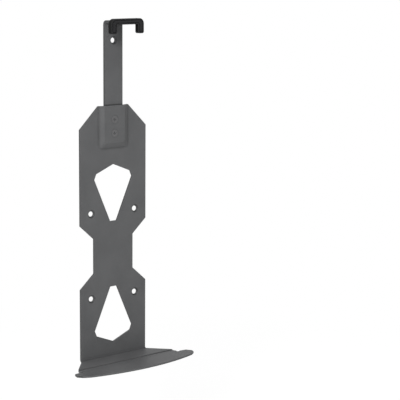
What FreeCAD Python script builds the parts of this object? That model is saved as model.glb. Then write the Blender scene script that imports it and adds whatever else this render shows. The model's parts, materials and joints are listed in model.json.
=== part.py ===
import FreeCAD, Part
import math
import os

# Wall mount for a games console: a folded and pressed steel wall plate with a shelf,
# a steel hanger strap that ends in a two-pronged fork, a rubber boot on the fork, and two screws.
# Millimetres. The wall is the plane Y = 0, the viewer's side is -Y, +Z is up, and the origin is
# the centre of the four wall holes.

Vector = FreeCAD.Vector

# Wall plate outline
plate_t = 2.0
plate_half_w = 48.0
plate_top_z = 175.0
top_chamfer_h = 25.7
top_edge_half_w = 21.5
waist_half_w = 28.5
waist_half_h = 20.6
waist_flare_h = 17.0
plate_corner_r = 1.5

# Kite-shaped cut-outs, mirrored about the waist
kite_base_z = 39.2
kite_base_half_w = 4.8
kite_side_z = 90.0
kite_side_half_w = 27.7
kite_clip_z = 96.5
kite_clip_half_w = 24.9
kite_apex_z = 106.4
kite_corner_r = 0.8

# Countersunk holes for wall screws
wall_hole_r = 3.0
wall_csk_r = 4.8
wall_hole_spacing_x = 64.0
wall_hole_spacing_z = 101.0

# Pocket pressed up at the top edge, which takes the strap
pocket_flat_half_w = 14.8
pocket_flank_run = 6.4
pocket_h = 50.0
pocket_corner_r = 4.0
pocket_edge_r = 1.2

# Shelf folded forward at the foot of the plate
floor_z = -122.9
fold_r = 2.0
step_depth = 24.8
step_half_w = 70.0
step_drop = 1.1
step_run = 1.0
step_r = 0.4
flange_rise_deg = 4.0
ear_root_half_w = 71.6
ear_root_depth = 33.6
ear_back_half_w = 82.6
ear_back_depth = 35.4
ear_side_half_w = 85.5
ear_side_depth = 43.8
ear_tip_half_w = 82.0
ear_tip_depth = 50.7
front_arc_half_w = 74.5
front_arc_depth = 56.0
front_arc_apex_depth = 68.5
relief_r = 2.0
ear_corner_r = 1.5

# Hanger strap and fork
strap_t = 3.0
strap_w = 25.6
strap_top_z = 272.6
strap_end_gap = 0.6
strap_hole_z = 249.6
strap_fold_r = 2.0
fork_front_y = -28.0
fork_half_w = 22.2
fork_bar_h = 3.2
fork_prong_w = 6.0
fork_drop = 13.5
fork_corner_r = 5.0
fork_foot_r = 1.0
fork_slot_r = 1.0

# Rubber boot on the fork
boot_face_skin = 1.6
boot_rim_skin = 1.1
boot_top_skin = 2.4
boot_groove_w = 0.9
boot_groove_depth = 0.7
boot_groove_inset = 1.4
boot_edge_chamfer = 0.4

# Countersunk screws that hold the strap in the pocket
screw_below_top = (16.4, 32.4)
screw_names = ("upper_screw", "lower_screw")
screw_head_r = 4.8
screw_shank_r = 2.5
thread_gap = 0.05
screw_end_gap = 0.3
recess_half_l = 2.4
recess_half_w = 0.5
recess_depth = 1.6
recess_taper = 0.45

# Derived places
plate_front_y = -plate_t
pocket_raise = strap_t
pocket_front_y = plate_front_y - pocket_raise
flank_slope = math.atan2(pocket_raise, pocket_flank_run)
pocket_half_w = pocket_flat_half_w + pocket_flank_run
shoulder_z = waist_half_h + waist_flare_h
top_shoulder_z = plate_top_z - top_chamfer_h
pocket_bottom_z = plate_top_z - pocket_h
screw_z = tuple(plate_top_z - below for below in screw_below_top)
step_y = plate_front_y - step_depth
plate_foot_z = floor_z + fold_r
fork_back_y = fork_front_y + strap_t
fork_foot_z = strap_top_z - fork_drop
reach = strap_top_z - floor_z + 2 * ear_side_half_w


def rounded_face(corners, place):
    """Flat face from 2D corners (u, v, radius); place turns (u, v) into a point in space."""
    edges = []
    count = len(corners)
    starts = []
    ends = []
    middles = []
    for i in range(count):
        u, v, r = corners[i]
        here = Vector(u, v, 0)
        before = Vector(corners[i - 1][0], corners[i - 1][1], 0).sub(here).normalize()
        after_corner = corners[(i + 1) % count]
        after = Vector(after_corner[0], after_corner[1], 0).sub(here).normalize()
        half_angle = before.getAngle(after) / 2
        if r <= 0:
            starts.append(here)
            ends.append(here)
            middles.append(None)
            continue
        along = r / math.tan(half_angle)
        bisector = before.add(after).normalize()
        centre = here.add(bisector.multiply(r / math.sin(half_angle)))
        to_corner = here.sub(centre).normalize()
        starts.append(here.add(before.multiply(along)))
        ends.append(here.add(after.multiply(along)))
        middles.append(centre.add(to_corner.multiply(r)))
    for i in range(count):
        if middles[i] is not None:
            arc = Part.Arc(place(starts[i]), place(middles[i]), place(ends[i]))
            edges.append(arc.toShape())
        next_start = starts[(i + 1) % count]
        if ends[i].distanceToPoint(next_start) > 1e-6:
            edges.append(Part.LineSegment(place(ends[i]), place(next_start)).toShape())
    return Part.Face(Part.Wire(Part.__sortEdges__(edges)))


def front_face(corners, y=0.0):
    """Face in a plane parallel to the wall, from (x, z, radius) corners."""
    return rounded_face(corners, lambda p: Vector(p.x, y, p.y))


def plan_face(corners, z=0.0):
    """Level face from (x, y, radius) corners."""
    return rounded_face(corners, lambda p: Vector(p.x, p.y, z))


def side_face(corners, x=0.0):
    """Face in a plane across the wall, from (y, z, radius) corners."""
    return rounded_face(corners, lambda p: Vector(x, p.x, p.y))


def mirrored(right_side):
    """Closed outline from the corners of its right half, listed top to bottom."""
    left_side = [(-u, v, r) for u, v, r in reversed(right_side) if u > 0]
    return right_side + left_side


def offset_path(path, distance):
    """The path moved sideways by a distance, with mitred corners."""
    moved = []
    for i, (u, v) in enumerate(path):
        normals = []
        for a, b in ((i - 1, i), (i, i + 1)):
            if a < 0 or b >= len(path):
                continue
            du = path[b][0] - path[a][0]
            dv = path[b][1] - path[a][1]
            length = math.hypot(du, dv)
            normals.append((-dv / length, du / length))
        if len(normals) == 1:
            nu, nv = normals[0]
            moved.append((u + nu * distance, v + nv * distance))
            continue
        (n1u, n1v), (n2u, n2v) = normals
        scale = distance / (1 + n1u * n2u + n1v * n2v)
        moved.append((u + (n1u + n2u) * scale, v + (n1v + n2v) * scale))
    return moved


def folded_section(path, thickness, radii, x):
    """Section of a bent sheet: the path is one skin, the other lies a thickness to its left."""
    other = offset_path(path, thickness)
    near = []
    far = []
    for i, (u, v) in enumerate(path):
        radius = radii[i]
        if radius <= 0:
            near.append((u, v, 0))
            far.append((other[i][0], other[i][1], 0))
            continue
        du1, dv1 = u - path[i - 1][0], v - path[i - 1][1]
        du2, dv2 = path[i + 1][0] - u, path[i + 1][1] - v
        turns_left = du1 * dv2 - dv1 * du2 > 0
        near_r = radius + thickness if turns_left else radius
        far_r = radius if turns_left else radius + thickness
        near.append((u, v, near_r))
        far.append((other[i][0], other[i][1], far_r))
    return side_face(near + far[::-1], x)


def countersunk_cutter(x, z, mouth_y, hole_r, mouth_r, depth):
    """Hole along +Y with a 90 degree countersink at its mouth."""
    drop = mouth_r - hole_r
    axis = Vector(0, 1, 0)
    hole = Part.makeCylinder(hole_r, depth + 2, Vector(x, mouth_y - 1, z), axis)
    cone = Part.makeCone(mouth_r + 1, hole_r, drop + 1, Vector(x, mouth_y - 1, z), axis)
    return hole.fuse(cone)


def plate_outline():
    """Front outline of the wall plate; below its foot it is left wide for the shelf."""
    r = plate_corner_r
    right = [
        (top_edge_half_w, plate_top_z, r),
        (plate_half_w, top_shoulder_z, r),
        (plate_half_w, shoulder_z, r),
        (waist_half_w, waist_half_h, r),
        (waist_half_w, -waist_half_h, r),
        (plate_half_w, -shoulder_z, r),
        (plate_half_w, plate_foot_z, 0),
        (ear_side_half_w + 10, plate_foot_z, 0),
        (ear_side_half_w + 10, plate_foot_z - 40, 0),
    ]
    return front_face(mirrored(right), -reach / 2).extrude(Vector(0, reach, 0))


def kite(sign):
    """Kite-shaped cutter above (sign 1) or below (sign -1) the waist."""
    r = kite_corner_r
    right = [
        (0, sign * kite_apex_z, r),
        (kite_clip_half_w, sign * kite_clip_z, r),
        (kite_side_half_w, sign * kite_side_z, r),
        (kite_base_half_w, sign * kite_base_z, r),
    ]
    return front_face(mirrored(right), -reach / 2).extrude(Vector(0, reach, 0))


def shelf_outline():
    """Plan outline of the plate and shelf: flared floor, ears and a curved front."""
    right = [
        (plate_half_w, 1.0, 0),
        (plate_half_w, plate_front_y - fold_r / 2, plate_corner_r),
        (step_half_w, step_y, 0),
        (ear_root_half_w, plate_front_y - ear_root_depth, 0),
        (ear_back_half_w, plate_front_y - ear_back_depth, ear_corner_r),
        (ear_side_half_w, plate_front_y - ear_side_depth, ear_corner_r),
        (ear_tip_half_w, plate_front_y - ear_tip_depth, ear_corner_r),
        (front_arc_half_w, plate_front_y - front_arc_depth, 0),
    ]
    body = plan_face(mirrored(right), -reach / 2).extrude(Vector(0, 0, reach))
    left_end = Vector(-front_arc_half_w, plate_front_y - front_arc_depth, -reach / 2)
    apex = Vector(0, plate_front_y - front_arc_apex_depth, -reach / 2)
    right_end = Vector(front_arc_half_w, plate_front_y - front_arc_depth, -reach / 2)
    bow = Part.Wire([
        Part.Arc(left_end, apex, right_end).toShape(),
        Part.LineSegment(right_end, left_end).toShape(),
    ])
    outline = body.fuse(Part.Face(bow).extrude(Vector(0, 0, reach))).removeSplitter()
    for side in (-1, 1):
        centre = Vector(side * ear_root_half_w, plate_front_y - ear_root_depth, -reach / 2)
        outline = outline.cut(Part.makeCylinder(relief_r, reach, centre))
    return outline


def pocket_block(inset, y_low, y_high, top_inset):
    """Tapered block, the shape of the pocket, from y_low at its foot to y_high at its flat."""
    faces = []
    for gap, y in ((inset, y_low), (top_inset, y_high)):
        half_w = pocket_half_w - gap
        bottom = pocket_bottom_z + gap
        top = plate_top_z + 20
        r = pocket_corner_r
        corners = [(half_w, top, 0), (half_w, bottom, r), (-half_w, bottom, r), (-half_w, top, 0)]
        faces.append(front_face(corners, y).OuterWire)
    return Part.makeLoft(faces, True, True)


def make_wall_plate():
    """One sheet: wall plate, pressed pocket, floor, step and crescent front."""
    low_z = floor_z - step_drop
    low_y = step_y - step_run
    flange_run = front_arc_apex_depth - step_depth + 5
    flange_rise = flange_run * math.tan(math.radians(flange_rise_deg))
    upper_skin = [
        (plate_front_y, plate_top_z + 5),
        (plate_front_y, floor_z),
        (step_y, floor_z),
        (low_y, low_z),
        (low_y - flange_run, low_z + flange_rise),
    ]
    radii = [0, fold_r, step_r, step_r, 0]
    half_x = ear_side_half_w + 10
    sheet = folded_section(upper_skin, plate_t, radii, -half_x).extrude(Vector(2 * half_x, 0, 0))

    outer_block = pocket_block(0, plate_front_y, pocket_front_y, pocket_flank_run)
    wall_shift = plate_t / math.sin(flank_slope)
    back_widen = plate_t / math.tan(flank_slope)
    inner_foot = wall_shift - back_widen
    inner_top = inner_foot + pocket_flank_run
    sheet = sheet.fuse(outer_block).removeSplitter()
    ridge = []
    for edge in sheet.Edges:
        box = edge.BoundBox
        on_flat = abs(box.YMin - pocket_front_y) < 1e-4 and abs(box.YMax - pocket_front_y) < 1e-4
        on_plate = abs(box.YMin - plate_front_y) < 1e-4 and abs(box.YMax - plate_front_y) < 1e-4
        inside = box.XMax < pocket_half_w + 0.1 and box.XMin > -pocket_half_w - 0.1
        below_top = box.ZMin < plate_top_z + 4 and box.ZMin > pocket_bottom_z - 0.1
        if (on_flat or on_plate) and inside and below_top:
            ridge.append(edge)
    sheet = sheet.makeFillet(pocket_edge_r, ridge)
    sheet = sheet.cut(pocket_block(inner_foot, 0, -pocket_raise, inner_top))

    sheet = sheet.common(plate_outline())
    sheet = sheet.common(shelf_outline())
    for sign in (1, -1):
        sheet = sheet.cut(kite(sign))
    for side_x in (-1, 1):
        for side_z in (-1, 1):
            x = side_x * wall_hole_spacing_x / 2
            z = side_z * wall_hole_spacing_z / 2
            cutter = countersunk_cutter(x, z, plate_front_y, wall_hole_r, wall_csk_r, plate_t)
            sheet = sheet.cut(cutter)
    for z in screw_z:
        cutter = countersunk_cutter(0, z, pocket_front_y, screw_shank_r, screw_head_r, plate_t)
        sheet = sheet.cut(cutter)
    return sheet


def fork_face(half_w, top_z, bar_h, prong_w, foot_z, corner_r, foot_r, slot_r, y):
    """Inverted U seen from the front."""
    right = [
        (half_w, top_z, corner_r),
        (half_w, foot_z, foot_r),
        (half_w - prong_w, foot_z, foot_r),
        (half_w - prong_w, top_z - bar_h, slot_r),
    ]
    return front_face(mirrored(right), y)


def make_hanger_strap():
    """One sheet: strap against the wall, arm folded forward, fork folded down."""
    lower_z = pocket_bottom_z + pocket_flank_run + plate_t * math.tan(flank_slope / 2)
    strap_foot_z = lower_z + strap_end_gap
    back_skin = [
        (0.0, strap_foot_z),
        (0.0, strap_top_z),
        (fork_front_y, strap_top_z),
        (fork_front_y, fork_foot_z),
    ]
    radii = [0, strap_fold_r, strap_fold_r, 0]
    half_x = fork_half_w
    sheet = folded_section(back_skin, strap_t, radii, -half_x).extrude(Vector(2 * half_x, 0, 0))
    arm_end_y = fork_back_y + strap_fold_r
    strap_corners = mirrored([(strap_w / 2, reach, 0), (strap_w / 2, strap_foot_z, pocket_corner_r)])
    strap_zone = front_face(strap_corners, arm_end_y).extrude(Vector(0, reach, 0))
    fork_zone = Part.makeBox(2 * half_x, reach, reach, Vector(-half_x, arm_end_y - reach, 0))
    sheet = sheet.common(strap_zone.fuse(fork_zone))
    u_face = fork_face(fork_half_w, strap_top_z, fork_bar_h, fork_prong_w, fork_foot_z,
                       fork_corner_r, fork_foot_r, fork_slot_r, fork_front_y - 1)
    u_block = u_face.extrude(Vector(0, strap_t + strap_fold_r + 1, 0))
    behind = Part.makeBox(2 * half_x, reach, reach, Vector(-half_x, arm_end_y, 0))
    sheet = sheet.common(u_block.fuse(behind))
    sheet = sheet.cut(countersunk_cutter(0, strap_hole_z, -strap_t, wall_hole_r, wall_csk_r, strap_t))
    for z in screw_z:
        head_drop = screw_head_r - screw_shank_r
        cutter = countersunk_cutter(0, z, pocket_front_y, screw_shank_r, screw_head_r, head_drop)
        sheet = sheet.cut(cutter)
        tapped = Part.makeCylinder(screw_shank_r, strap_t + 2, Vector(0, -strap_t - 1, z), Vector(0, 1, 0))
        sheet = sheet.cut(tapped)
    return sheet.removeSplitter()


def make_hook_boot(strap):
    """Moulded sleeve over the fork, with a groove round its face."""
    skin = boot_rim_skin
    half_w = fork_half_w + skin
    top_z = strap_top_z + boot_top_skin
    bar_h = fork_bar_h + skin + boot_top_skin
    prong_w = fork_prong_w + 2 * skin
    foot_z = fork_foot_z - skin
    front_y = fork_front_y - boot_face_skin
    depth = strap_t + 2 * boot_face_skin
    corner_r = fork_corner_r + skin
    foot_r = fork_foot_r + skin
    face = fork_face(half_w, top_z, bar_h, prong_w, foot_z, corner_r, foot_r, fork_slot_r, front_y)
    body = face.extrude(Vector(0, depth, 0))
    rims = [e for e in body.Edges if abs(e.BoundBox.YLength) < 1e-6]
    body = body.makeChamfer(boot_edge_chamfer, rims)
    grooves = []
    for gap in (boot_groove_inset, boot_groove_inset + boot_groove_w):
        grooves.append(fork_face(half_w - gap, top_z - gap, bar_h - 2 * gap, prong_w - 2 * gap, foot_z + gap,
                                 corner_r - gap, max(foot_r - gap, 0.2), fork_slot_r + gap, front_y))
    ring = grooves[0].cut(grooves[1]).extrude(Vector(0, boot_groove_depth, 0))
    return body.cut(ring).cut(strap)


def make_screw(z):
    """Countersunk screw with a cross recess, head flush with the pocket."""
    head_drop = screw_head_r - screw_shank_r
    back = Vector(0, 1, 0)
    head = Part.makeCone(screw_head_r, screw_shank_r, head_drop, Vector(0, pocket_front_y, z), back)
    shank_r = screw_shank_r - thread_gap
    shank_l = -pocket_front_y - screw_end_gap
    shank = Part.makeCylinder(shank_r, shank_l, Vector(0, pocket_front_y, z), back)
    screw = head.fuse(shank)
    sections = []
    for gap, y in ((0.0, pocket_front_y - 0.01), (recess_taper, pocket_front_y + recess_depth)):
        long_side = recess_half_l - gap
        short_side = recess_half_w - gap / 2
        star = [
            (short_side, long_side), (short_side, short_side), (long_side, short_side),
            (long_side, -short_side), (short_side, -short_side), (short_side, -long_side),
            (-short_side, -long_side), (-short_side, -short_side), (-long_side, -short_side),
            (-long_side, short_side), (-short_side, short_side), (-short_side, long_side),
        ]
        corners = [(u, z + v, 0) for u, v in star]
        sections.append(front_face(corners, y).OuterWire)
    return screw.cut(Part.makeLoft(sections, True, True)).removeSplitter()


def main():
    os.makedirs("parts", exist_ok=True)
    strap = make_hanger_strap()
    pieces = {
        "wall_plate": make_wall_plate(),
        "hanger_strap": strap,
        "hook_boot": make_hook_boot(strap),
    }
    for name, z in zip(screw_names, screw_z):
        pieces[name] = make_screw(z)
    for name, shape in pieces.items():
        box = shape.BoundBox
        print(name, shape.isValid(), len(shape.Solids), round(shape.Volume, 1),
              [round(v, 2) for v in (box.XMin, box.XMax, box.YMin, box.YMax, box.ZMin, box.ZMax)])
        shape.exportStep(os.path.join("parts", name + ".step"))


main()
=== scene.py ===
import json
import math

import bpy
from mathutils import Matrix, Vector


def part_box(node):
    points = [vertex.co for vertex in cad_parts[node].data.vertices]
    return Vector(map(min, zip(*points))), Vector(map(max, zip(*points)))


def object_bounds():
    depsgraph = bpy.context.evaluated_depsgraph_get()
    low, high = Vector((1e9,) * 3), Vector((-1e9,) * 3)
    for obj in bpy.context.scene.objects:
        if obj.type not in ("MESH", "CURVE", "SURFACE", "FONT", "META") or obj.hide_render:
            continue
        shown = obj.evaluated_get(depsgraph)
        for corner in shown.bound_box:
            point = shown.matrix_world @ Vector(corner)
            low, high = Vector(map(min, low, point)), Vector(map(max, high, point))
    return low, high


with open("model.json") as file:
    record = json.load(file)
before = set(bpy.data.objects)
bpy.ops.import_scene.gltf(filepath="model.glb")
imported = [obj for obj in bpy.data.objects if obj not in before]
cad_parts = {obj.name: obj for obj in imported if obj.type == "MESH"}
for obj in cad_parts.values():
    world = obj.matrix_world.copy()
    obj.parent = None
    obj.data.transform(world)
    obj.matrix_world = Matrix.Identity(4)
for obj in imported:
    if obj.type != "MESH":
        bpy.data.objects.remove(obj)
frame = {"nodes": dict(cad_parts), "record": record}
CAD_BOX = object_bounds()

MM = 0.001
SCREWS = ("upper_screw", "lower_screw")

# Camera, matched to the photograph: left of the plate's normal and a little above it
PICTURE_PX = 400
FOCAL_PX = 1363.3
CENTRE_PX = (127.25, 199.05)
AIM_POINT = Vector((0, -2 * MM, 0))
AIM_PX = (113.52, 253.48)
SCALE_PX_PER_MM = 0.85
CAMERA_LEFT_DEG = 38.0
CAMERA_UP_DEG = 9.66
SENSOR_MM = 36.0
CLIP_NEAR = 0.05
CLIP_FAR = 100.0

# Lights: places are offsets from the lit point, in metres, and powers are in watts
LIT_POINT = Vector((0, 0, 0.07))
KEY_PLACE = Vector((-2.7, -2.3, 1.5))
KEY_SIZE = 0.9
KEY_POWER = 132
FILL_OFFSETS = (1.6, 1.6, 0.3)
FILL_SIZE = 1.8
FILL_POWER = 1.6
TOP_PLACE = Vector((0, -0.5, 1.6))
TOP_SIZE = 1.0
TOP_POWER = 8.0
WORLD_LIGHT = 0.26
PLAIN_WHITE = 1.0

# Colours, linear
WHITE = (1, 1, 1, 1)
STEEL_DARK = (0.076, 0.077, 0.079)
STEEL_LIGHT = (0.104, 0.105, 0.107)
STEEL_EDGE = (0.125, 0.126, 0.129)
RUBBER_DARK = (0.004, 0.004, 0.004)
RUBBER_LIGHT = (0.007, 0.007, 0.007)
# Painted light: front faces lighter, as if lit
RUBBER_LIT_FACE = (0.018, 0.018, 0.019)
# Painted highlight on the rubber's outer edges
RUBBER_EDGE_HIGHLIGHT = (0.060, 0.060, 0.062)
SCREW_DARK = (0.086, 0.086, 0.088)
# Painted light in the screw's recess
SCREW_RECESS_LIGHT = (0.180, 0.180, 0.185)
FLOOR_COLOUR = (0.90, 0.90, 0.90)

# Powder coat; a tone is what the colour is multiplied by at such a place, to paint shade there
GRAIN_MM = 0.35
PEEL_MM = 1.6
CLOUD_MM = 35.0
CLOUD_SHARE = 0.45
GRAIN_SHARE = 0.55
PEEL_HEIGHT = 1.5
COAT_EDGE_MM = 0.7
COAT_WEAR = (0.20, 0.70)
NEAR_HOLLOW_MM = 2.0
# Painted shade in hollows
NEAR_HOLLOW_SHADE = 0.45
WIDE_HOLLOW_MM = 4.0
WIDE_HOLLOW_SAMPLES = 16
POCKET_FOOT_MM = (110.0, 120.0)
POCKET_TOP_MM = (174.0, 175.5)
POCKET_SHADE = (0.10, 0.48)
POCKET_TOP_SHARE = 0.1
# Painted shade in the countersinks
COUNTERSINK_MM = 4.8
COUNTERSINK_RIM_MM = 0.4
COUNTERSINK_SHADE = 0.70
# Painted shade in the gap round each screw's head
GAP_LINE_MM = 0.45
GAP_SHADE = 0.45
# Painted shade on folds
FOLD_SHADE = 0.65
# Painted shade on cut sides facing left or right
SIDE_SHADE = 0.62
COAT_ROUGHNESS = (0.46, 0.62)
COAT_SPECULAR = 0.22
COAT_BUMP = 0.55
COAT_BUMP_MM = 0.07
COAT_SOFT_EDGE_MM = 0.35

# Moulded rubber
RUBBER_GRAIN_MM = 0.25
RUBBER_CLOUD_MM = 6.0
RUBBER_HOLLOW_MM = 1.5
# Painted shade in the rubber's grooves and hollows
RUBBER_HOLLOW_SHADE = 0.05
RUBBER_EDGE_MM = 0.5
RUBBER_ROUGHNESS = (0.50, 0.65)
RUBBER_SPECULAR = 0.10
RUBBER_BUMP = 0.2
RUBBER_BUMP_MM = 0.03
RUBBER_SOFT_EDGE_MM = 0.4

# Black oxide
OXIDE_GRAIN_MM = 0.4
OXIDE_RECESS_MM = 1.2
# Painted light in the recess, lifting its shade
OXIDE_RECESS_LIGHT = 0.8
OXIDE_ROUGHNESS = (0.36, 0.50)
OXIDE_METALLIC = 0.1
OXIDE_BUMP = 0.15
OXIDE_BUMP_MM = 0.02
OXIDE_SOFT_EDGE_MM = 0.2

# Floor, in metres
FLOOR_DROP = 0.22
FLOOR_SIZE = 14.0
FLOOR_ROUGHNESS = 0.8
FLOOR_NEAR = 0.1
FLOOR_FAR = 1.1
FLOOR_GLOW = 0.35
FLOOR_LIFT = 0.45


def new_material(name):
    """Material with its output and principled shader alone."""
    material = bpy.data.materials.new(name)
    material.use_nodes = True
    tree = material.node_tree
    tree.nodes.clear()
    output = tree.nodes.new("ShaderNodeOutputMaterial")
    shader = tree.nodes.new("ShaderNodeBsdfPrincipled")
    tree.links.new(shader.outputs["BSDF"], output.inputs["Surface"])
    return material, tree, shader


def object_position(tree):
    """Position in the object's own frame."""
    return tree.nodes.new("ShaderNodeTexCoord").outputs["Object"]


def noise(tree, position, size_mm, detail=2.0, roughness=0.5):
    """Noise whose features are about size_mm across."""
    node = tree.nodes.new("ShaderNodeTexNoise")
    node.inputs["Scale"].default_value = 1 / (size_mm * MM)
    node.inputs["Detail"].default_value = detail
    node.inputs["Roughness"].default_value = roughness
    tree.links.new(position, node.inputs["Vector"])
    return node.outputs["Fac"]


def ramp(tree, value, low, high, out_low=0.0, out_high=1.0):
    """Value mapped from low..high to out_low..out_high, clamped."""
    node = tree.nodes.new("ShaderNodeMapRange")
    node.clamp = True
    node.inputs["From Min"].default_value = low
    node.inputs["From Max"].default_value = high
    node.inputs["To Min"].default_value = out_low
    node.inputs["To Max"].default_value = out_high
    tree.links.new(value, node.inputs["Value"])
    return node.outputs["Result"]


def mix_colour(tree, factor, first, second):
    """Mix of two colours, each given as numbers or as a socket."""
    node = tree.nodes.new("ShaderNodeMix")
    node.data_type = "RGBA"
    tree.links.new(factor, node.inputs["Factor"])
    for name, colour in (("A", first), ("B", second)):
        socket = next(s for s in node.inputs if s.name == name and s.type == "RGBA")
        if isinstance(colour, tuple):
            socket.default_value = (*colour, 1.0)
        else:
            tree.links.new(colour, socket)
    return next(s for s in node.outputs if s.type == "RGBA")


def combine(tree, operation, *values):
    """Arithmetic on one or two values, each a number or a socket."""
    node = tree.nodes.new("ShaderNodeMath")
    node.operation = operation
    for socket, value in zip(node.inputs, values):
        if isinstance(value, (int, float)):
            socket.default_value = value
        else:
            tree.links.new(value, socket)
    return node.outputs["Value"]


def product(tree, first, *others):
    """Product of several values, each a number or a socket."""
    for other in others:
        first = combine(tree, "MULTIPLY", first, other)
    return first


def components(tree, vector):
    """Sockets x, y, z of a vector."""
    split = tree.nodes.new("ShaderNodeSeparateXYZ")
    tree.links.new(vector, split.inputs[0])
    return split.outputs


def vector_length(tree, vector):
    """Length of a vector."""
    node = tree.nodes.new("ShaderNodeVectorMath")
    node.operation = "LENGTH"
    tree.links.new(vector, node.inputs[0])
    return node.outputs["Value"]


def scaled(tree, colour, factor):
    """Colour times a value."""
    node = tree.nodes.new("ShaderNodeVectorMath")
    node.operation = "SCALE"
    tree.links.new(colour, node.inputs[0])
    tree.links.new(factor, node.inputs["Scale"])
    return node.outputs["Vector"]


def axis_distance(tree, position, x, z):
    """Distance in metres from a line through (x, z) that runs out of the wall."""
    shift = tree.nodes.new("ShaderNodeVectorMath")
    shift.operation = "SUBTRACT"
    shift.inputs[1].default_value = (x, 0, z)
    tree.links.new(position, shift.inputs[0])
    flat = tree.nodes.new("ShaderNodeVectorMath")
    flat.operation = "MULTIPLY"
    flat.inputs[1].default_value = (1, 0, 1)
    tree.links.new(shift.outputs["Vector"], flat.inputs[0])
    return vector_length(tree, flat.outputs["Vector"])


def nearest_axis(tree, position, axes):
    """Distance from the nearest of several such lines."""
    distances = [axis_distance(tree, position, x, z) for x, z in axes]
    nearest = distances[0]
    for distance in distances[1:]:
        nearest = combine(tree, "MINIMUM", nearest, distance)
    return nearest


def gap_shade(tree, position, screws):
    """Painted shade on a fine ring round each screw's head, in the gap to the countersink, 1
    beside it.
    """
    distance = nearest_axis(tree, position, screws)
    off = combine(tree, "ABSOLUTE", combine(tree, "SUBTRACT", distance, COUNTERSINK_MM * MM))
    return ramp(tree, off, 0.0, GAP_LINE_MM * MM, GAP_SHADE, 1.0)


def surface_normal(tree):
    """True normal of the surface."""
    return tree.nodes.new("ShaderNodeNewGeometry").outputs["Normal"]


def soft_edge(tree, radius_mm):
    """Normal rounded over the edges by a radius."""
    bevel = tree.nodes.new("ShaderNodeBevel")
    bevel.samples = 6
    bevel.inputs["Radius"].default_value = radius_mm * MM
    return bevel.outputs["Normal"]


def openness(tree, distance_mm, samples=8):
    """1 on open faces and outer edges, lower in inner corners, grooves and gaps."""
    occlusion = tree.nodes.new("ShaderNodeAmbientOcclusion")
    occlusion.samples = samples
    occlusion.inputs["Distance"].default_value = distance_mm * MM
    return occlusion.outputs["AO"]


def edge_mask(tree, radius_mm, low, high, open_value):
    """Bright along outer edges, where the normals part and nothing is near."""
    dot = tree.nodes.new("ShaderNodeVectorMath")
    dot.operation = "DOT_PRODUCT"
    tree.links.new(soft_edge(tree, radius_mm), dot.inputs[0])
    tree.links.new(surface_normal(tree), dot.inputs[1])
    turned = ramp(tree, combine(tree, "SUBTRACT", 1.0, dot.outputs["Value"]), low, high)
    return product(tree, turned, ramp(tree, open_value, 0.80, 0.97))


def bump(tree, shader, height, strength, distance_mm, normal):
    """Bump of a height on the shader, over another normal."""
    node = tree.nodes.new("ShaderNodeBump")
    node.inputs["Strength"].default_value = strength
    node.inputs["Distance"].default_value = distance_mm * MM
    tree.links.new(height, node.inputs["Height"])
    tree.links.new(normal, node.inputs["Normal"])
    tree.links.new(node.outputs["Normal"], shader.inputs["Normal"])


def seen_directly(tree):
    """1 for what the camera sees, also in a reflection or through glass."""
    path = tree.nodes.new("ShaderNodeLightPath")
    total = combine(tree, "ADD", path.outputs["Is Camera Ray"], path.outputs["Is Glossy Ray"])
    total = combine(tree, "ADD", total, path.outputs["Is Transmission Ray"])
    return combine(tree, "MINIMUM", total, 1.0)


def pocket_tone(tree, position):
    """Shade along the pocket's flanks and foot, faded out below it and at the top edge."""
    z = components(tree, position)["Z"]
    (foot, above), (below, top) = POCKET_FOOT_MM, POCKET_TOP_MM
    shade = ramp(tree, z, foot * MM, above * MM, *POCKET_SHADE)
    shade = product(tree, shade, ramp(tree, z, below * MM, top * MM, 1.0, POCKET_TOP_SHARE))
    hollow = openness(tree, WIDE_HOLLOW_MM, WIDE_HOLLOW_SAMPLES)
    shaded = product(tree, ramp(tree, hollow, 0.94, 0.995), shade)
    return combine(tree, "ADD", shaded, combine(tree, "SUBTRACT", 1.0, shade))


def painted_shade_tone(tree, position, holes, screws, open_value):
    """Painted shade on the coat in hollows, countersinks, round the screws, on folds and on cut
    sides.
    """
    # painted shade in hollows and inner corners
    hollow = ramp(tree, open_value, 0.70, 0.97, NEAR_HOLLOW_SHADE, 1.0)
    rim_mm = COUNTERSINK_MM + COUNTERSINK_RIM_MM
    distance = nearest_axis(tree, position, holes)
    # painted shade inside the countersinks
    sunk_shade = ramp(tree, distance, COUNTERSINK_MM * MM, rim_mm * MM, COUNTERSINK_SHADE, 1.0)
    nx, ny, nz = components(tree, surface_normal(tree))
    # painted shade on faces turned forward and up, such as folds, which would otherwise show a
    # lit band
    bend = product(tree, ny, -1.0, nz)
    fold_shade = ramp(tree, bend, 0.10, 0.45, 1.0, FOLD_SHADE)
    # painted shade on cut sides facing left or right
    side_shade = ramp(tree, combine(tree, "ABSOLUTE", nx), 0.55, 0.75, 1.0, SIDE_SHADE)
    pocket = pocket_tone(tree, position)
    return product(tree, hollow, pocket, sunk_shade, gap_shade(tree, position, screws), fold_shade, side_shade)


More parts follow.
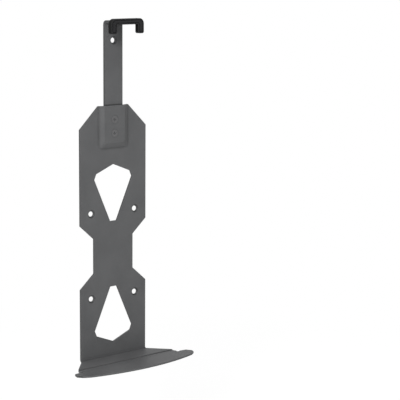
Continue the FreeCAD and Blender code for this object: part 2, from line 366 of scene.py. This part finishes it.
def powder_coat(holes, screws):
    """Matt textured powder coat on steel: fine grain, orange peel, thin coat along the edges."""
    material, tree, shader = new_material("powder_coat")
    position = object_position(tree)
    grain = noise(tree, position, GRAIN_MM, 3.0, 0.6)
    peel = noise(tree, position, PEEL_MM, 2.0, 0.5)
    cloud = noise(tree, position, CLOUD_MM, 3.0, 0.5)
    clouds = product(tree, ramp(tree, cloud, 0.35, 0.65), CLOUD_SHARE)
    specks = product(tree, ramp(tree, grain, 0.35, 0.75), GRAIN_SHARE)
    colour = mix_colour(tree, combine(tree, "ADD", clouds, specks), STEEL_DARK, STEEL_LIGHT)
    open_value = openness(tree, NEAR_HOLLOW_MM)
    edges = edge_mask(tree, COAT_EDGE_MM, 0.02, 0.30, open_value)
    worn = product(tree, edges, ramp(tree, peel, 0.30, 0.70, *COAT_WEAR))
    colour = mix_colour(tree, worn, colour, STEEL_EDGE)
    # the colour carries painted shade in hollows, countersinks, screw gaps, folds and on cut
    # sides
    tone = painted_shade_tone(tree, position, holes, screws, open_value)
    tree.links.new(scaled(tree, colour, tone), shader.inputs["Base Color"])
    rough = ramp(tree, combine(tree, "ADD", grain, cloud), 0.7, 1.3, *COAT_ROUGHNESS)
    tree.links.new(rough, shader.inputs["Roughness"])
    shader.inputs["Specular IOR Level"].default_value = COAT_SPECULAR
    height = combine(tree, "ADD", grain, product(tree, peel, PEEL_HEIGHT))
    bump(tree, shader, height, COAT_BUMP, COAT_BUMP_MM, soft_edge(tree, COAT_SOFT_EDGE_MM))
    return material


def moulded_rubber():
    """Black moulded rubber with a satin skin and faint mould texture, front face painted lighter
    as if lit, painted edge highlights and painted shade in its grooves.
    """
    material, tree, shader = new_material("moulded_rubber")
    position = object_position(tree)
    grain = noise(tree, position, RUBBER_GRAIN_MM, 3.0, 0.6)
    cloud = noise(tree, position, RUBBER_CLOUD_MM, 2.0, 0.5)
    colour = mix_colour(tree, ramp(tree, cloud, 0.3, 0.7), RUBBER_DARK, RUBBER_LIGHT)
    # front faces painted lighter, as if lit
    outward = product(tree, components(tree, surface_normal(tree))["Y"], -1.0)
    colour = mix_colour(tree, ramp(tree, outward, 0.80, 0.95), colour, RUBBER_LIT_FACE)
    open_value = openness(tree, RUBBER_HOLLOW_MM)
    # painted highlight along the outer edges
    edges = edge_mask(tree, RUBBER_EDGE_MM, 0.01, 0.20, open_value)
    colour = mix_colour(tree, edges, colour, RUBBER_EDGE_HIGHLIGHT)
    # painted shade in grooves and hollows
    tone = ramp(tree, open_value, 0.45, 0.92, RUBBER_HOLLOW_SHADE, 1.0)
    tree.links.new(scaled(tree, colour, tone), shader.inputs["Base Color"])
    tree.links.new(ramp(tree, grain, 0.3, 0.7, *RUBBER_ROUGHNESS), shader.inputs["Roughness"])
    shader.inputs["Specular IOR Level"].default_value = RUBBER_SPECULAR
    bump(tree, shader, grain, RUBBER_BUMP, RUBBER_BUMP_MM, soft_edge(tree, RUBBER_SOFT_EDGE_MM))
    return material


def black_oxide(screws):
    """Black oxide screw: satin dark steel, painted lighter in the recess to lift its shade."""
    material, tree, shader = new_material("black_oxide")
    position = object_position(tree)
    grain = noise(tree, position, OXIDE_GRAIN_MM, 3.0, 0.6)
    # painted light in the recess, lifting its shade
    recess_light = ramp(tree, openness(tree, OXIDE_RECESS_MM), 0.60, 0.98, 1.0, 0.0)
    colour = mix_colour(tree, product(tree, recess_light, OXIDE_RECESS_LIGHT), SCREW_DARK, SCREW_RECESS_LIGHT)
    # painted shade in the gap round the head
    tone = gap_shade(tree, position, screws)
    tree.links.new(scaled(tree, colour, tone), shader.inputs["Base Color"])
    tree.links.new(ramp(tree, grain, 0.3, 0.7, *OXIDE_ROUGHNESS), shader.inputs["Roughness"])
    shader.inputs["Metallic"].default_value = OXIDE_METALLIC
    bump(tree, shader, grain, OXIDE_BUMP, OXIDE_BUMP_MM, soft_edge(tree, OXIDE_SOFT_EDGE_MM))
    return material


def dress(node, material):
    """Gives a CAD node its material."""
    piece = frame["nodes"][node]
    piece.data.materials.clear()
    piece.data.materials.append(material)


def hole_axes():
    """(x, z) of the countersunk wall holes, from the record's mounts."""
    axes = []
    for mount in frame["record"]["mounts"]:
        x, _, z = mount["pos_m"]
        if mount["name"] == "wall_holes":
            half_x = mount["dims"]["spacing_x_mm"] / 2 * MM
            half_z = mount["dims"]["spacing_y_mm"] / 2 * MM
            axes += [(x + i * half_x, z + j * half_z) for i in (-1, 1) for j in (-1, 1)]
        if mount["name"] == "strap_hole":
            axes.append((x, z))
    return axes


def screw_axes():
    """(x, z) of the two screws in the pocket."""
    axes = []
    for name in SCREWS:
        low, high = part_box(name)
        axes.append(((low[0] + high[0]) / 2, (low[2] + high[2]) / 2))
    return axes


def make_camera():
    """Camera at the photograph's viewing angle and framing."""
    turn = math.radians(CAMERA_LEFT_DEG)
    rise = math.radians(CAMERA_UP_DEG)
    level = math.cos(rise)
    back = Vector((-math.sin(turn) * level, -math.cos(turn) * level, math.sin(rise)))
    right = Vector((math.cos(turn), -math.sin(turn), 0))
    up = back.cross(right)
    distance = FOCAL_PX / SCALE_PX_PER_MM * MM
    aside = (CENTRE_PX[0] - AIM_PX[0]) / SCALE_PX_PER_MM * MM
    above = (AIM_PX[1] - CENTRE_PX[1]) / SCALE_PX_PER_MM * MM
    data = bpy.data.cameras.new("camera")
    camera = bpy.data.objects.new("camera", data)
    bpy.context.scene.collection.objects.link(camera)
    camera.location = AIM_POINT + back * distance + right * aside + up * above
    camera.rotation_euler = Matrix((right, up, back)).transposed().to_euler()
    data.sensor_width = SENSOR_MM
    data.lens = FOCAL_PX * SENSOR_MM / PICTURE_PX
    data.shift_x = 0.5 - CENTRE_PX[0] / PICTURE_PX
    data.shift_y = CENTRE_PX[1] / PICTURE_PX - 0.5
    data.clip_start = CLIP_NEAR
    data.clip_end = CLIP_FAR
    bpy.context.scene.camera = camera
    return back, right, up


def area_light(name, place, size, power):
    """Square soft box aimed at the lit point."""
    data = bpy.data.lights.new(name, "AREA")
    data.shape = "SQUARE"
    data.size = size
    data.energy = power
    lamp = bpy.data.objects.new(name, data)
    bpy.context.scene.collection.objects.link(lamp)
    lamp.location = place
    lamp.rotation_euler = (LIT_POINT - place).to_track_quat("-Z", "Y").to_euler()


def make_lights(back, right, up):
    """Key from the upper left, weak fill from the right, soft light from above."""
    nearer, aside, above = FILL_OFFSETS
    fill_place = LIT_POINT + back * nearer + right * aside + up * above
    area_light("key", LIT_POINT + KEY_PLACE, KEY_SIZE, KEY_POWER)
    area_light("fill", fill_place, FILL_SIZE, FILL_POWER)
    area_light("top", LIT_POINT + TOP_PLACE, TOP_SIZE, TOP_POWER)


def make_world():
    """White to the camera and in reflections, plain soft grey as light."""
    world = bpy.data.worlds.new("studio")
    bpy.context.scene.world = world
    world.use_nodes = True
    tree = world.node_tree
    tree.nodes.clear()
    output = tree.nodes.new("ShaderNodeOutputWorld")
    mix = tree.nodes.new("ShaderNodeMixShader")
    tree.links.new(seen_directly(tree), mix.inputs["Fac"])
    for socket, strength in zip((mix.inputs[1], mix.inputs[2]), (WORLD_LIGHT, PLAIN_WHITE)):
        background = tree.nodes.new("ShaderNodeBackground")
        background.inputs["Color"].default_value = WHITE
        background.inputs["Strength"].default_value = strength
        tree.links.new(background.outputs["Background"], socket)
    tree.links.new(mix.outputs["Shader"], output.inputs["Surface"])


def make_floor():
    """White floor below the mount: it takes the shadow near it and fades to plain white."""
    place = (0, 0, CAD_BOX[0].z - FLOOR_DROP)
    bpy.ops.mesh.primitive_plane_add(size=FLOOR_SIZE, location=place)
    floor = bpy.context.object
    floor.name = "floor"
    material, tree, shader = new_material("pale_floor")
    shader.inputs["Base Color"].default_value = (*FLOOR_COLOUR, 1)
    shader.inputs["Roughness"].default_value = FLOOR_ROUGHNESS
    shader.inputs["Emission Color"].default_value = WHITE
    seen = seen_directly(tree)
    tree.links.new(product(tree, seen, FLOOR_LIFT), shader.inputs["Emission Strength"])
    reach = vector_length(tree, object_position(tree))
    away = ramp(tree, reach, FLOOR_NEAR, FLOOR_FAR, FLOOR_GLOW, 1.0)
    white = tree.nodes.new("ShaderNodeEmission")
    white.inputs["Strength"].default_value = PLAIN_WHITE
    mix = tree.nodes.new("ShaderNodeMixShader")
    output = next(n for n in tree.nodes if n.type == "OUTPUT_MATERIAL")
    tree.links.new(product(tree, away, seen), mix.inputs["Fac"])
    tree.links.new(shader.outputs["BSDF"], mix.inputs[1])
    tree.links.new(white.outputs["Emission"], mix.inputs[2])
    tree.links.new(mix.outputs["Shader"], output.inputs["Surface"])
    floor.data.materials.append(material)


coat = powder_coat(hole_axes(), screw_axes())
rubber = moulded_rubber()
oxide = black_oxide(screw_axes())
for plate_name in ("wall_plate", "hanger_strap"):
    dress(plate_name, coat)
dress("hook_boot", rubber)
for screw_name in SCREWS:
    dress(screw_name, oxide)

make_lights(*make_camera())
make_world()
make_floor()
bpy.context.scene.view_settings.view_transform = "Standard"
